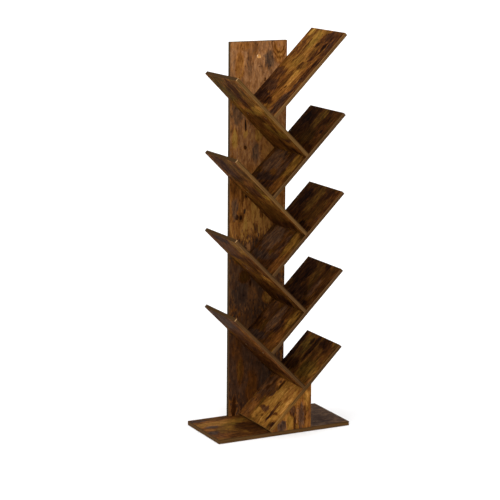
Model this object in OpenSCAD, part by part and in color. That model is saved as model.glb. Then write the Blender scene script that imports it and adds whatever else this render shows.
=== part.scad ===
// Tree-shaped bookshelf: a base plate carries an upright trunk panel, and straight
// branch boards rise from it to the right and to the left at 45 degrees. Each branch
// stands square on the upper face of the branch below it, so the boards form a zigzag.
// All lengths are in millimetres. X runs to the right, Y to the wall, Z upwards. The
// origin is the centre of the base plate's underside.

/* [Overall] */
// Height from the floor to the tip of the top branch
total_h = 1380; // [1340:1:1420]
// Width of the base plate
base_w = 510; // [440:1:600]
// Depth of the base plate, and of the whole bookshelf
base_d = 250; // [200:1:300]
// How far the trunk stands to the right of the base's middle
tree_shift = 7; // [0:1:30]
// How far the middle of the branches' zigzag stands to the right of the trunk's middle
zigzag_shift = 4; // [0:1:10]

/* [Boards] */
// Thickness of the base plate, the trunk and the support
board_t = 15; // [15:0.5:19]
// Thickness of the branch boards
branch_t = 12; // [11:0.5:16]
// Thickness of the decor strips glued on the boards' edges
band_t = 1; // [0.5:0.1:2]

/* [Trunk] */
// Width of the trunk panel
trunk_w = 220; // [190:1:260]
// How far the tip of the top branch reaches above the trunk
trunk_drop = 40; // [20:1:80]
// Diameter of the through hole for a screw that fixes the trunk to a wall
wall_hole_d = 5; // [4:0.5:8]
// Diameter of the round recess for that screw's head
wall_recess_d = 15; // [12:0.5:20]
// Depth of the recess
wall_recess_depth = 8; // [4:0.5:10]
// Distance of that hole below the top of the trunk
wall_hole_drop = 52; // [30:1:90]

/* [Branches] */
// Length of a branch board along its slope
branch_len = 380; // [340:1:420]
// How far the lowest branch runs down past the joint line of the others, along its slope
foot_past = 8; // [0:0.5:20]

/* [Front support] */
// Width of the triangular panel under the lowest branch
support_w = 155; // [140:1:180]

/* [Screws] */
// Length of the panel screws
screw_len = 50; // [40:1:60]
// Outer diameter of the screw thread
screw_thread_d = 6.3; // [5.8:0.1:7]
// Diameter of the screw's core between the threads
screw_core_d = 4.4; // [3:0.1:5]
// Distance between neighbouring turns of the thread
screw_pitch = 3; // [2:0.1:4]
// Diameter of the screw's countersunk head
screw_head_d = 9; // [8:0.1:10]
// Height of the countersunk head
screw_head_h = 4; // [3:0.1:6]
// Width across the flats of the hexagon socket
socket_af = 4; // [3:0.1:5]
// Depth of the hexagon socket
socket_depth = 3; // [2:0.1:3.5]
// Distance of the lower back screw of a branch from its lower end
screw_low = 50; // [30:1:80]
// Distance of the upper back screw of a branch past the joint that the branch carries
screw_past_joint = 21; // [12:1:30]
// Distance between the two screws in a branch's lower end, which are set evenly in its depth
joint_screw_span = 128; // [90:1:140]
// Distance of the outer screws in the trunk's foot from the trunk's middle
foot_screw_x = 80; // [65:1:85]
// Distance of the support's first screw from the pointed end of the support
support_screw_near = 60; // [50:1:80]
// Distance of the support's second screw from its upright edge
support_screw_far = 25; // [12:1:35]

/* [Dowels] */
// Diameter of the wooden dowels
dowel_d = 8; // [6:0.1:9]
// Length of the wooden dowels
dowel_len = 30; // [25:1:40]
// Chamfer on both ends of a dowel
dowel_chamfer = 1; // [0.5:0.1:1.5]
// Length of a dowel that sits in the face of a board
dowel_in_face = 8; // [6:0.1:9]
// Distance of the dowels in the trunk's foot from the trunk's middle
foot_dowel_x = 40; // [20:1:50]
// Distance of the support's lower dowel from the pointed end, along the slope
support_dowel_near = 90; // [85:1:100]
// Distance between the two dowels in the slope of the support
support_dowel_span = 60; // [40:1:70]

/* [Fits] */
// Radial clearance of screws and dowels in their holes
hole_fit = 0.1; // [0.05:0.01:0.2]
// Free depth past the end of a screw or dowel in its hole
end_gap = 0.5; // [0.2:0.1:0.8]

/* [Hidden] */

// Branches on the right are counted from the top down, and so are those on the left
right_count = 5;
left_count = 4;
right_side = 1;
left_side = -1;

// The boards rise at this angle, which is what lets their square ends stand on each other
tilt = 45;
slope_run = cos(tilt);
slope_rise = sin(tilt);

front_y = -base_d / 2;
back_y = base_d / 2;
// Front face of the trunk, against which the branches' back edges lie
trunk_front_y = back_y - board_t;
branch_d = trunk_front_y - front_y;
trunk_top_z = total_h - trunk_drop;
wall_hole_z = trunk_top_z - wall_hole_drop;

// Lower end of the top right branch, and the same point on the lowest right branch, whose
// own lower edge stands on the base plate
top_joint_z = total_h - branch_len * slope_rise;
low_joint_z = board_t + branch_t * slope_run + foot_past * slope_rise;
// Drop from one right branch to the next below it. Each left branch starts half way, so
// the joints lie a quarter of it to the right and left of the zigzag's middle
branch_drop = (top_joint_z - low_joint_z) / (right_count - 1);
joint_x = branch_drop / 4;
// Distance along a branch from its lower end to the joint that it carries
joint_reach = 2 * joint_x / slope_run;
screw_high = joint_reach + screw_past_joint;

// Middle of the zigzag, and the support's pointed end, where the lowest branch touches the base
zigzag_x = tree_shift + zigzag_shift;
foot_x = zigzag_x - joint_x + branch_t * slope_rise - foot_past * slope_run;
support_y = front_y + board_t / 2;

screw_thread_r = screw_thread_d / 2;
screw_core_r = screw_core_d / 2;
screw_head_r = screw_head_d / 2;
// The head's rim, its cone and the length of the blunt point
head_rim_h = 1;
screw_point_h = 3;
dowel_r = dowel_d / 2;
trunk_mid_y = back_y - board_t / 2;
// Cuts start this far outside a face, so that they leave no skin on it
cut = 1;
round_steps = 48;

decor_brown = [0.36, 0.23, 0.14];
strip_brown = [0.33, 0.26, 0.19];
steel_grey = [0.62, 0.63, 0.64];
beech_tan = [0.80, 0.66, 0.47];

function right_joint_z(k) = top_joint_z - (k - 1) * branch_drop;
function left_joint_z(k) = right_joint_z(k) - 2 * joint_x;
function joint_z(side, k) = side == right_side ? right_joint_z(k) : left_joint_z(k);
function is_lowest(side, k) = side == right_side && k == right_count;
function low_end(side, k) = is_lowest(side, k) ? -foot_past : 0;

// Puts its children in a branch's own frame: X along the slope from the lower end, Z out
// of the upper face, which lies at Z = 0
module branch_frame(side, k) {
    translate([zigzag_x - side * joint_x, 0, joint_z(side, k)])
        mirror([side == left_side ? 1 : 0, 0, 0])
            rotate([0, -tilt, 0])
                children();
}

// One panel screw: its head's top lies at Z = 0 and it points along +Z
module screw() {
    thread_start = screw_head_h + screw_pitch;
    turns = ceil((screw_len - screw_point_h - thread_start) / screw_pitch) - 1;
    color(steel_grey)
        difference() {
            rotate_extrude($fn = round_steps)
                polygon(concat(
                    [[0, 0], [screw_head_r, 0], [screw_head_r, head_rim_h],
                     [screw_core_r, screw_head_h], [screw_core_r, thread_start]],
                    [for (i = [0 : turns - 1])
                        each [[screw_thread_r, thread_start + (i + 0.5) * screw_pitch],
                              [screw_core_r, thread_start + (i + 1) * screw_pitch]]],
                    [[screw_core_r, screw_len - screw_point_h],
                     [screw_core_r / 2, screw_len],
                     [0, screw_len]]
                ));
            translate([0, 0, -cut])
                cylinder(r = socket_af / (2 * cos(30)), h = socket_depth + cut, $fn = 6);
        }
}

// The hole that a panel screw needs, with the recess for its head
module screw_hole() {
    recess_r = screw_head_r + hole_fit;
    translate([0, 0, -cut])
        cylinder(r = screw_thread_r + hole_fit, h = screw_len + end_gap + cut, $fn = round_steps);
    rotate_extrude($fn = round_steps)
        polygon([[0, -cut], [recess_r, -cut], [recess_r, head_rim_h],
                 [screw_core_r + hole_fit, screw_head_h], [0, screw_head_h]]);
}

// One dowel along Z: the part above Z = 0 sits in an end, the part below in a face
module dowel() {
    color(beech_tan)
        translate([0, 0, -dowel_in_face])
            rotate_extrude($fn = round_steps)
                polygon([[0, 0], [dowel_r - dowel_chamfer, 0], [dowel_r, dowel_chamfer],
                         [dowel_r, dowel_len - dowel_chamfer],
                         [dowel_r - dowel_chamfer, dowel_len], [0, dowel_len]]);
}

module dowel_hole() {
    translate([0, 0, -dowel_in_face - end_gap])
        cylinder(r = dowel_r + hole_fit, h = dowel_len + 2 * end_gap, $fn = round_steps);
}

// Places of the two screws that hold one branch to the trunk, heads at the trunk's back
module at_branch_screws(side, k) {
    branch_frame(side, k)
        for (reach = [screw_low, screw_high])
            translate([reach, back_y, -branch_t / 2])
                rotate([90, 0, 0])
                    children();
}

// Places of the two screws that hold the lower end of one branch, heads in the underside of
// the branch that carries it
module at_joint_screws(side, k) {
    branch_frame(side, k)
        for (i = [-0.5, 0.5])
            translate([-branch_t, front_y + branch_d / 2 + i * joint_screw_span,
                       -branch_t / 2])
                rotate([0, 90, 0])
                    children();
}

// Places of the two dowels between the support's slope and the lowest branch
module at_support_dowels() {
    branch_frame(right_side, right_count)
        for (i = [0, 1])
            translate([support_dowel_near + i * support_dowel_span - foot_past,
                       support_y, -branch_t])
                rotate([180, 0, 0])
                    children();
}

// Places of the screws and dowels that join the base plate to the trunk and the support
module at_trunk_foot_screws() {
    for (x = [-foot_screw_x, 0, foot_screw_x])
        translate([tree_shift + x, trunk_mid_y, 0])
            children();
}

module at_trunk_foot_dowels() {
    for (x = [-foot_dowel_x, foot_dowel_x])
        translate([tree_shift + x, trunk_mid_y, board_t])
            children();
}

module at_support_screws() {
    for (x = [support_screw_near, support_w - support_screw_far])
        translate([foot_x + x, support_y, 0])
            children();
}

// Holes of one branch board and of its edge strips. Only the lowest right branch rests on
// the support, and only the top right branch carries no other
module branch_holes(side, k) {
    at_branch_screws(side, k) screw_hole();
    if (!is_lowest(side, k))
        at_joint_screws(side, k) screw_hole();
    if (side == left_side)
        at_joint_screws(right_side, k) screw_hole();
    else if (k > 1)
        at_joint_screws(left_side, k - 1) screw_hole();
    if (is_lowest(side, k))
        at_support_dowels() dowel_hole();
}

module branch_board(side, k) {
    start = low_end(side, k) + (is_lowest(side, k) ? band_t : 0);
    color(decor_brown)
        difference() {
            branch_frame(side, k)
                translate([start, front_y + band_t, -branch_t])
                    cube([branch_len - band_t - start, branch_d - 2 * band_t, branch_t]);
            branch_holes(side, k);
        }
}

// Strips on the front edge, the back edge and the tip, and on the foot of the lowest branch
module branch_bands(side, k) {
    start = low_end(side, k);
    inner_d = branch_d - 2 * band_t;
    color(strip_brown)
        difference() {
            branch_frame(side, k) {
                for (y = [front_y, trunk_front_y - band_t])
                    translate([start, y, -branch_t])
                        cube([branch_len - start, band_t, branch_t]);
                translate([branch_len - band_t, front_y + band_t, -branch_t])
                    cube([band_t, inner_d, branch_t]);
                if (is_lowest(side, k))
                    translate([start, front_y + band_t, -branch_t])
                        cube([band_t, inner_d, branch_t]);
            }
            at_branch_screws(side, k) screw_hole();
        }
}

module base_holes() {
    at_trunk_foot_screws() screw_hole();
    at_trunk_foot_dowels() dowel_hole();
    at_support_screws() screw_hole();
}

module base_plate() {
    color(decor_brown)
        difference() {
            translate([-base_w / 2 + band_t, front_y + band_t, 0])
                cube([base_w - 2 * band_t, base_d - 2 * band_t, board_t]);
            base_holes();
        }
}

module base_edge_bands() {
    color(strip_brown) {
        for (y = [front_y, back_y - band_t])
            translate([-base_w / 2, y, 0])
                cube([base_w, band_t, board_t]);
        for (x = [-base_w / 2, base_w / 2 - band_t])
            translate([x, front_y + band_t, 0])
                cube([band_t, base_d - 2 * band_t, board_t]);
    }
}

// Hole for the wall screw, with the recess for its head in the trunk's front face
module wall_hole() {
    translate([tree_shift, trunk_front_y + wall_recess_depth, wall_hole_z])
        rotate([90, 0, 0])
            cylinder(d = wall_recess_d, h = wall_recess_depth + cut, $fn = round_steps);
    translate([tree_shift, back_y + cut, wall_hole_z])
        rotate([90, 0, 0])
            cylinder(d = wall_hole_d, h = board_t + cut, $fn = round_steps);
}

module trunk_panel() {
    color(decor_brown)
        difference() {
            translate([tree_shift - trunk_w / 2 + band_t, trunk_front_y, board_t])
                cube([trunk_w - 2 * band_t, board_t, trunk_top_z - band_t - board_t]);
            wall_hole();
            for (k = [1 : right_count])
                at_branch_screws(right_side, k) screw_hole();
            for (k = [1 : left_count])
                at_branch_screws(left_side, k) screw_hole();
            at_trunk_foot_screws() screw_hole();
            at_trunk_foot_dowels() dowel_hole();
        }
}

module trunk_edge_bands() {
    color(strip_brown) {
        for (x = [-trunk_w / 2, trunk_w / 2 - band_t])
            translate([tree_shift + x, trunk_front_y, board_t])
                cube([band_t, board_t, trunk_top_z - board_t]);
        translate([tree_shift - trunk_w / 2 + band_t, trunk_front_y, trunk_top_z - band_t])
            cube([trunk_w - 2 * band_t, board_t, band_t]);
    }
}

// Triangular panel whose slope lies along the underside of the lowest branch
module front_support() {
    panel_w = support_w - band_t;
    color(decor_brown)
        difference() {
            translate([foot_x, front_y + board_t, board_t])
                rotate([90, 0, 0])
                    linear_extrude(height = board_t)
                        polygon([[0, 0], [panel_w, 0], [panel_w, panel_w * tan(tilt)]]);
            at_support_screws() screw_hole();
            at_support_dowels() dowel_hole();
        }
}

// Strip on the support's upright edge, cut to the slope at its top
module front_support_band() {
    color(strip_brown)
        translate([foot_x, front_y + board_t, board_t])
            rotate([90, 0, 0])
                linear_extrude(height = board_t)
                    polygon([[support_w - band_t, 0], [support_w, 0],
                             [support_w, support_w * tan(tilt)],
                             [support_w - band_t, (support_w - band_t) * tan(tilt)]]);
}

module branch_screws() {
    for (k = [1 : right_count])
        at_branch_screws(right_side, k) screw();
    for (k = [1 : left_count])
        at_branch_screws(left_side, k) screw();
}

// Screws in the lower ends of every branch that stands on another branch
module joint_screws() {
    for (k = [1 : left_count]) {
        at_joint_screws(right_side, k) screw();
        at_joint_screws(left_side, k) screw();
    }
}

module trunk_foot_screws() {
    at_trunk_foot_screws() screw();
}

module support_screws() {
    at_support_screws() screw();
}

module trunk_foot_dowels() {
    at_trunk_foot_dowels() dowel();
}

module support_dowels() {
    at_support_dowels() dowel();
}

base_plate();
base_edge_bands();
trunk_panel();
trunk_edge_bands();
front_support();
front_support_band();
branch_board(right_side, 1);  // branch_right_1
branch_board(right_side, 2);  // branch_right_2
branch_board(right_side, 3);  // branch_right_3
branch_board(right_side, 4);  // branch_right_4
branch_board(right_side, 5);  // branch_right_5
branch_board(left_side, 1);  // branch_left_1
branch_board(left_side, 2);  // branch_left_2
branch_board(left_side, 3);  // branch_left_3
branch_board(left_side, 4);  // branch_left_4
branch_bands(right_side, 1);  // bands_right_1
branch_bands(right_side, 2);  // bands_right_2
branch_bands(right_side, 3);  // bands_right_3
branch_bands(right_side, 4);  // bands_right_4
branch_bands(right_side, 5);  // bands_right_5
branch_bands(left_side, 1);  // bands_left_1
branch_bands(left_side, 2);  // bands_left_2
branch_bands(left_side, 3);  // bands_left_3
branch_bands(left_side, 4);  // bands_left_4
branch_screws();
joint_screws();
trunk_foot_screws();
support_screws();
trunk_foot_dowels();
support_dowels();
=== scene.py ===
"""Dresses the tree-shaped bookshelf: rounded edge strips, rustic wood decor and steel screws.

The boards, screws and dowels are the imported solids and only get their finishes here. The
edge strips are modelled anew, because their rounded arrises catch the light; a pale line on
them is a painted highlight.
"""

import logging
import math
from dataclasses import dataclass, field
from enum import Enum, IntEnum
from typing import Any, Callable, Optional, Sequence, Union

import bpy
from mathutils import Matrix, Vector

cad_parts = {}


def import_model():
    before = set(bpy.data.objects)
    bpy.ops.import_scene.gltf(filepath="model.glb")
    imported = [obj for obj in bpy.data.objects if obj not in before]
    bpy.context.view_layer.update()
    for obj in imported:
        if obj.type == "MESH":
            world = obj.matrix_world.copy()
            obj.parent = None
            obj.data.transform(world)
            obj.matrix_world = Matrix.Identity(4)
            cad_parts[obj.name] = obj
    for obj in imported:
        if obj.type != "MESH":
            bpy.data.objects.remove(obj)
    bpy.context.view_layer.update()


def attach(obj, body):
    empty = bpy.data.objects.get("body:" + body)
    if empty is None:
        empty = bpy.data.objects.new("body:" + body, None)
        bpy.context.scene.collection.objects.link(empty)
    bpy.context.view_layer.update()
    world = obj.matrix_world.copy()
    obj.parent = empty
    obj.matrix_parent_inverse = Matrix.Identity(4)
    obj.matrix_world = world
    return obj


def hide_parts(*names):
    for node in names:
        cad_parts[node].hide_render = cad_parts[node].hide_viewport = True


LOG = logging.getLogger("tree_bookshelf")
MM = 0.001  # a millimetre, in metres
NEAR = 0.01  # how close two places are that count as the same, in millimetres
Number = Union[int, float]
Label = Union[int, str]  # a socket's number or name
Triple = tuple[float, float, float]
Piece = bpy.types.Object
Material = bpy.types.Material
BLACK: Triple = (0.0, 0.0, 0.0)


class Side(Enum):
    """The side to which a branch rises from the trunk."""

    RIGHT = 1
    LEFT = -1


class Axis(IntEnum):
    """A direction of the shelf, or of a board while its strips are made."""

    X = 0
    Y = 1
    Z = 2


class Face(Enum):
    """A face of a strip: the direction that it looks along, and whether at its far end."""

    LEFT = (Axis.X, False)
    RIGHT = (Axis.X, True)
    FRONT = (Axis.Y, False)
    BACK = (Axis.Y, True)
    TOP = (Axis.Z, True)


def srgb(*shares: int) -> Triple:
    """Turns red, green and blue of 0 to 255 into the linear colour that shaders take."""
    parts = [share / 255 for share in shares]
    return tuple(part / 12.92 if part <= 0.04045 else ((part + 0.055) / 1.055) ** 2.4 for part in parts)


def scaled(values: Triple, by: float) -> Triple:
    """Multiplies three values, such as a colour's, by a number."""
    return values[0] * by, values[1] * by, values[2] * by


# Shader desk


class Sock:
    """An output socket, with the arithmetic that adds Math nodes behind it."""

    def __init__(self, desk: "Desk", socket: bpy.types.NodeSocket) -> None:
        """Keeps the desk that the node lies on and the socket itself."""
        self.desk = desk
        self.socket = socket

    def _maths(self, operation: str, *terms: "Term") -> "Sock":
        """Adds one Math node."""
        return self.desk.node("ShaderNodeMath", {"operation": operation}, dict(enumerate(terms)))

    def __add__(self, other: "Term") -> "Sock":
        """Adds a value."""
        return self._maths("ADD", self, other)

    __radd__ = __add__

    def __sub__(self, other: "Term") -> "Sock":
        """Takes a value away."""
        return self._maths("SUBTRACT", self, other)

    def __rsub__(self, other: "Term") -> "Sock":
        """Takes this value away from another."""
        return self._maths("SUBTRACT", other, self)

    def __mul__(self, other: "Term") -> "Sock":
        """Multiplies by a value."""
        return self._maths("MULTIPLY", self, other)

    __rmul__ = __mul__

    def wave(self) -> "Sock":
        """Gives the sine, moved to run from 0 to 1."""
        return self._maths("SINE", self) * 0.5 + 0.5

    def clamped(self) -> "Sock":
        """Keeps the value between 0 and 1."""
        return self.desk.node("ShaderNodeClamp", {}, {"Value": self})

    def step(self, low: float, high: float) -> "Sock":
        """Runs smoothly from 0 at low to 1 at high, or the other way where low is the larger.

        Args:
            low: The value where the result is 0.
            high: The value where the result is 1.

        Returns:
            The eased share.
        """
        falls = low > high
        limits = {"From Min": min(low, high), "From Max": max(low, high)}
        ends = {"To Min": float(falls), "To Max": float(not falls)}
        settings = {"interpolation_type": "SMOOTHSTEP"}
        return self.desk.node("ShaderNodeMapRange", settings, {"Value": self, **limits, **ends})


Term = Union[Sock, Number]
Feed = Union[Sock, Number, Sequence[float]]


class Desk:
    """One material's node tree, and the one way to lay nodes on it."""

    def __init__(self, name: str) -> None:
        """Starts an empty material.

        Args:
            name: The material's name.
        """
        self.material = bpy.data.materials.new(name)
        self.material.use_nodes = True
        self.tree = self.material.node_tree
        self.tree.nodes.clear()

    def node(
        self, kind: str, settings: dict[str, Any], feeds: dict[Label, Feed], output: Label = 0
    ) -> Sock:
        """Adds a node, sets its settings and then its sockets.

        Args:
            kind: The node's type.
            settings: Its settings, and the stops of a ramp as (place, colour) pairs.
            feeds: A value or a link for each socket, by name or number.
            output: The output that is wanted.

        Returns:
            That output.
        """
        made = self.tree.nodes.new(kind)
        for name, value in settings.items():
            if name == "stops":
                elements = made.color_ramp.elements
                while len(elements) < len(value):
                    elements.new(0.5)
                for element, (place, colour) in zip(elements, value):
                    element.position = place
                    element.color = (*colour, 1.0)
            else:
                setattr(made, name, value)
        for name, value in feeds.items():
            if isinstance(value, Sock):
                self.tree.links.new(value.socket, made.inputs[name])
            else:
                made.inputs[name].default_value = value
        return Sock(self, made.outputs[output])

    def place(self) -> Sock:
        """Reads a point's place in the shelf, in metres."""
        return self.node("ShaderNodeTexCoord", {}, {}, "Object")

    def vector(self, operation: str, *terms: Feed, output: Label = 0) -> Sock:
        """Adds one Vector Math node and gives its output."""
        settings = {"operation": operation}
        return self.node("ShaderNodeVectorMath", settings, dict(enumerate(terms)), output)

    def combine(self, x: Feed, y: Feed, z: Feed) -> Sock:
        """Joins three values to one vector."""
        return self.node("ShaderNodeCombineXYZ", {}, {"X": x, "Y": y, "Z": z})

    def noise(self, place: Sock, scale: float = 1.0, detail: float = 2.0, rough: float = 0.5) -> Sock:
        """Adds smooth noise, about 0.5 on average, by its fineness and its finer layers."""
        feeds = {"Vector": place, "Scale": scale, "Detail": detail, "Roughness": rough}
        return self.node("ShaderNodeTexNoise", {}, feeds)

    def ramp(self, share: Sock, stops: Sequence[tuple[float, Triple]]) -> Sock:
        """Maps a share to a colour by stops."""
        return self.node("ShaderNodeValToRGB", {"stops": stops}, {"Fac": share})

    def blend(self, first: Feed, second: Feed, share: Feed) -> Sock:
        """Goes from one colour or vector to another by a share.

        Args:
            first: What shows at share 0.
            second: What shows at share 1.
            share: How much of the second shows.

        Returns:
            The mixture.
        """
        settings = {"data_type": "VECTOR", "clamp_factor": True}
        factor, one, other, mixed = 0, 4, 5, 1  # the Mix node's sockets, whose names aren't unique
        feeds = {factor: share, one: first, other: second}
        return self.node("ShaderNodeMix", settings, feeds, mixed)

    def part(self, vector: Sock, axis: Axis) -> Sock:
        """Gives one of a vector's three values."""
        return self.node("ShaderNodeSeparateXYZ", {}, {0: vector}, axis.name)

    def bump(self, height: Sock, depth_mm: float) -> Sock:
        """Turns a height of 0 to 1 into a relief of the given depth."""
        feeds = {"Strength": 1.0, "Distance": depth_mm * MM, "Height": height}
        return self.node("ShaderNodeBump", {}, feeds)

    def finish(self, **sockets: Feed) -> Material:
        """Ends the tree in one Principled shader.

        Args:
            sockets: Values or links, with an underscore for each space in a socket's name.

        Returns:
            The finished material.
        """
        feeds = {name.replace("_", " "): value for name, value in sockets.items()}
        shader = self.node("ShaderNodeBsdfPrincipled", {}, feeds)
        ending = self.tree.nodes.new("ShaderNodeOutputMaterial")
        self.tree.links.new(shader.socket, ending.inputs["Surface"])
        return self.material


# Finishes


@dataclass(frozen=True)
class Lie:
    """How a board lies: one corner of its show face and three directions, in millimetres."""

    corner: Triple
    along: Triple
    across: Triple
    out: Triple

    def reading(self, desk: Desk) -> list[Sock]:
        """Gives a point's place along, across and out of the board, in millimetres.

        Args:
            desk: The desk of the material that reads it.

        Returns:
            The three distances from the board's corner.
        """
        place = desk.place()
        found = []
        for direction in (self.along, self.across, self.out):
            offset = sum(a * b for a, b in zip(direction, self.corner))
            per_mm = scaled(direction, 1 / MM)
            found.append(desk.vector("DOT_PRODUCT", place, per_mm, output="Value") - offset)
        return found

    def matrix(self) -> Matrix:
        """Gives the matrix that lays a piece made in the board's own frame in its place."""
        turned = Matrix((self.along, self.across, self.out)).transposed().to_4x4()
        return Matrix.Translation(Vector(self.corner) * MM) @ turned


@dataclass(frozen=True)
class Layer:
    """A layer of streaky noise: its streaks' length and width in millimetres, and its seed.

    swing is the whole range of what it adds, where it adds as much as it takes away.
    """

    length: float
    width: float
    seed: float = 0.0
    detail: float = 1.0
    rough: float = 0.5
    swing: float = 1.0


@dataclass(frozen=True)
class Reading:
    """Where noise is read on a board, in millimetres, and from which seed on."""

    along: Sock
    across: Sock
    seed: Union[Sock, float]

    def noise(self, layer: Layer) -> Sock:
        """Reads one layer of noise, about 0.5 on average.

        Args:
            layer: The layer.

        Returns:
            Its value, 0 to 1.
        """
        desk = self.along.desk
        across, seed = self.across * (1 / layer.width), self.seed + layer.seed
        place = desk.combine(self.along * (1 / layer.length), across, seed)
        return desk.noise(place, 1.0, layer.detail, layer.rough)

    def swing(self, layer: Layer) -> Sock:
        """Reads one layer of noise as a swing to both sides of 0."""
        return (self.noise(layer) - 0.5) * layer.swing


@dataclass(frozen=True)
class Spots:
    """Spots or dashes that show where a layer of noise rises from low to high.

    tone is what a whole spot adds to the board's tone.
    """

    layer: Layer
    low: float
    high: float
    tone: float


@dataclass(frozen=True)
class Mark:
    """A patch, streak or spot of the decor, as an oval on a board.

    tone is 0 for the darkest brown and 1 for the lightest, and glow runs from -1, grey and
    purple, through 0, red-brown, to 1, golden olive. edge is the share of the oval over
    which it fades out.
    """

    along: float
    across: float
    length: float
    width: float
    tone: float
    glow: float = 0.0
    edge: float = 0.55


@dataclass(frozen=True)
class Knot:
    """A knot with its dark core and the tone of its rings."""

    along: float
    across: float
    length: float
    width: float
    tone: float = 0.15
    line: float = 0.27


def shades(*colours: tuple[int, int, int]) -> tuple[tuple[float, Triple], ...]:
    """Spreads seven colours, from the darkest to the lightest, over the stops of a ramp."""
    stops = (0.0, 0.15, 0.3, 0.45, 0.6, 0.8, 1.0)
    return tuple((stop, srgb(*colour)) for stop, colour in zip(stops, colours))


@dataclass(frozen=True)
class Decor:
    """The printed wood decor of one board, seen on its show face and on its other face.

    tone and glow are the board's own, as in Mark. recess is the middle of a wall screw's
    recess, sheen is the gloss, crisp is the strength of the fibres, and below calm_below
    the grain is fainter.
    """

    name: str
    lie: Lie
    tone: float
    glow: float
    marks: tuple[Mark, ...] = ()
    knots: tuple[Knot, ...] = ()
    seed: float = 0.0
    recess: tuple[float, ...] = ()
    sheen: float = 0.012
    crisp: float = 1.3
    calm_below: float = 0.0

    RED = shades(
        (20, 7, 2), (42, 17, 4), (63, 33, 9), (84, 46, 15), (111, 65, 23), (147, 92, 42), (186, 126, 64)
    )
    GOLD = shades(
        (18, 10, 2), (40, 25, 5), (57, 39, 11), (76, 54, 17), (105, 76, 25), (142, 102, 37), (178, 136, 62)
    )
    GREY = shades(
        (15, 9, 8), (37, 22, 17), (55, 38, 29), (72, 54, 42), (98, 74, 54), (134, 100, 72), (166, 132, 104)
    )
    PORE = srgb(16, 9, 5)
    # The recess's wall colour is painted light: nearly as pale as the floor, against the shade that falls
    # on the wall
    CHIP_FLOOR, CHIP_WALL, CHIP_DARK = srgb(244, 200, 128), srgb(240, 196, 122), srgb(176, 130, 72)

    WANDER = Layer(120.0, 40.0, 0.0, 3.0, 0.55, swing=20.0)
    RAGGED = Layer(20.0, 6.0, 3.0, 3.0, 0.62)
    BROAD = Layer(170.0, 40.0, 7.0, 2.0, swing=0.5)
    HUE = Layer(90.0, 26.0, 23.0, 2.0, swing=2.6)
    RINGS = Layer(300.0, 60.0, 31.0)
    PATCH = Layer(38.0, 15.0, 37.0, 3.0, 0.6, swing=0.18)
    FIBRES = (Layer(40.0, 4.5, 41.0, 3.0, 0.6, swing=0.28), Layer(18.0, 1.0, 53.0, 2.0, swing=0.16))
    PORES = Layer(7.0, 0.5)
    SPOTS = (
        Spots(Layer(11.0, 5.5, 89.0, 0.0), 0.7, 0.78, -0.2),
        Spots(Layer(22.0, 6.0, 61.0), 0.6, 0.7, -0.15),
        Spots(Layer(16.0, 8.0, 73.0), 0.6, 0.7, 0.1),
    )

    MARK_WANDER = 0.7  # how far the marks wander with the grain
    # How far the ragged layer frays the marks and the knots and changes the tone and the glow
    MARK_FRAY, KNOT_FRAY, RAGGED_TONE, RAGGED_GLOW = 1.7, 0.7, 0.4, 1.5
    INSIDE = 6.0  # a depth between the two faces of every board, in millimetres
    OTHER_SEED, AWAY_FROM_MARKS = 400.0, 9.0  # they give the other face a decor without marks
    KNOT_RINGS, BOARD_RINGS = 15.0, 90.0
    CALM = 0.7  # how strong the grain is where it is faint
    RECESS_RADIUS = 7.5

    def material(self) -> Material:
        """Makes the board's material.

        Returns:
            The material.
        """
        desk = Desk(self.name)
        along, across, out = self.lie.reading(desk)
        other_face = (out + self.INSIDE).step(0.1, -0.1)
        drift = other_face * self.OTHER_SEED + self.seed
        wander = Reading(along, across, drift).swing(self.WANDER)
        board = Reading(along, across + wander, drift)
        ragged = board.swing(self.RAGGED)
        beside = other_face * self.AWAY_FROM_MARKS
        place = desk.combine(along + wander * self.MARK_WANDER, board.across, beside)
        tone, glow = board.swing(self.BROAD) + self.tone, board.swing(self.HUE) + self.glow
        state, fray = desk.combine(tone, glow, 0.0), ragged * self.MARK_FRAY
        for mark in self.marks:
            mask = self._away(place, mark, fray).step(1.0 + mark.edge / 2, 1.0 - mark.edge / 2)
            state = desk.blend(state, (mark.tone, mark.glow, 0.0), mask)
        for knot in self.knots:
            away = self._away(place, knot, ragged * self.KNOT_FRAY)
            rings = (away * self.KNOT_RINGS).wave() * away.step(2.1, 1.1)
            state = desk.blend(state, (knot.line, 0.1, 0.0), rings * 0.7)
            state = desk.blend(state, (knot.tone, -0.2, 0.0), away.step(1.0, 0.45))
        grain = ragged * self.RAGGED_TONE + self._grain(board)
        if self.calm_below:
            full = along.step(self.calm_below - 60.0, self.calm_below + 60.0)
            grain = grain * (full * (1 - self.CALM) + self.CALM)
        tone = desk.part(state, Axis.X) + grain
        glow = desk.part(state, Axis.Y) + ragged * self.RAGGED_GLOW
        warm = desk.blend(desk.ramp(tone, self.RED), desk.ramp(tone, self.GOLD), glow.clamped())
        colour = desk.blend(warm, desk.ramp(tone, self.GREY), (glow * -1.0).clamped())
        pores = board.noise(self.PORES)
        colour = desk.blend(colour, self.PORE, pores.step(0.62, 0.74) * 0.5)
        if self.recess:
            colour = self._bare_chip(along, across, out, colour)
        return desk.finish(
            Base_Color=colour,
            Roughness=(tone * -0.15 + 0.68).clamped(),
            Specular_IOR_Level=self.sheen,
            Normal=desk.bump(pores.step(0.8, 0.5), 0.1),
        )

    @staticmethod
    def _away(place: Sock, shape: Union[Mark, Knot], fray: Sock) -> Sock:
        """Gives the distance from an oval's middle.

        Args:
            place: Where the decor is read.
            shape: The oval.
            fray: What frays its rim.

        Returns:
            The distance, 0 in the middle and 1 at the rim.
        """
        scale = (1 / shape.length, 1 / shape.width, 1.0)
        shift = (-shape.along / shape.length, -shape.across / shape.width, 0.0)
        oval = place.desk.vector("MULTIPLY_ADD", place, scale, shift)
        return place.desk.vector("LENGTH", oval, output="Value") + fray

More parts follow.
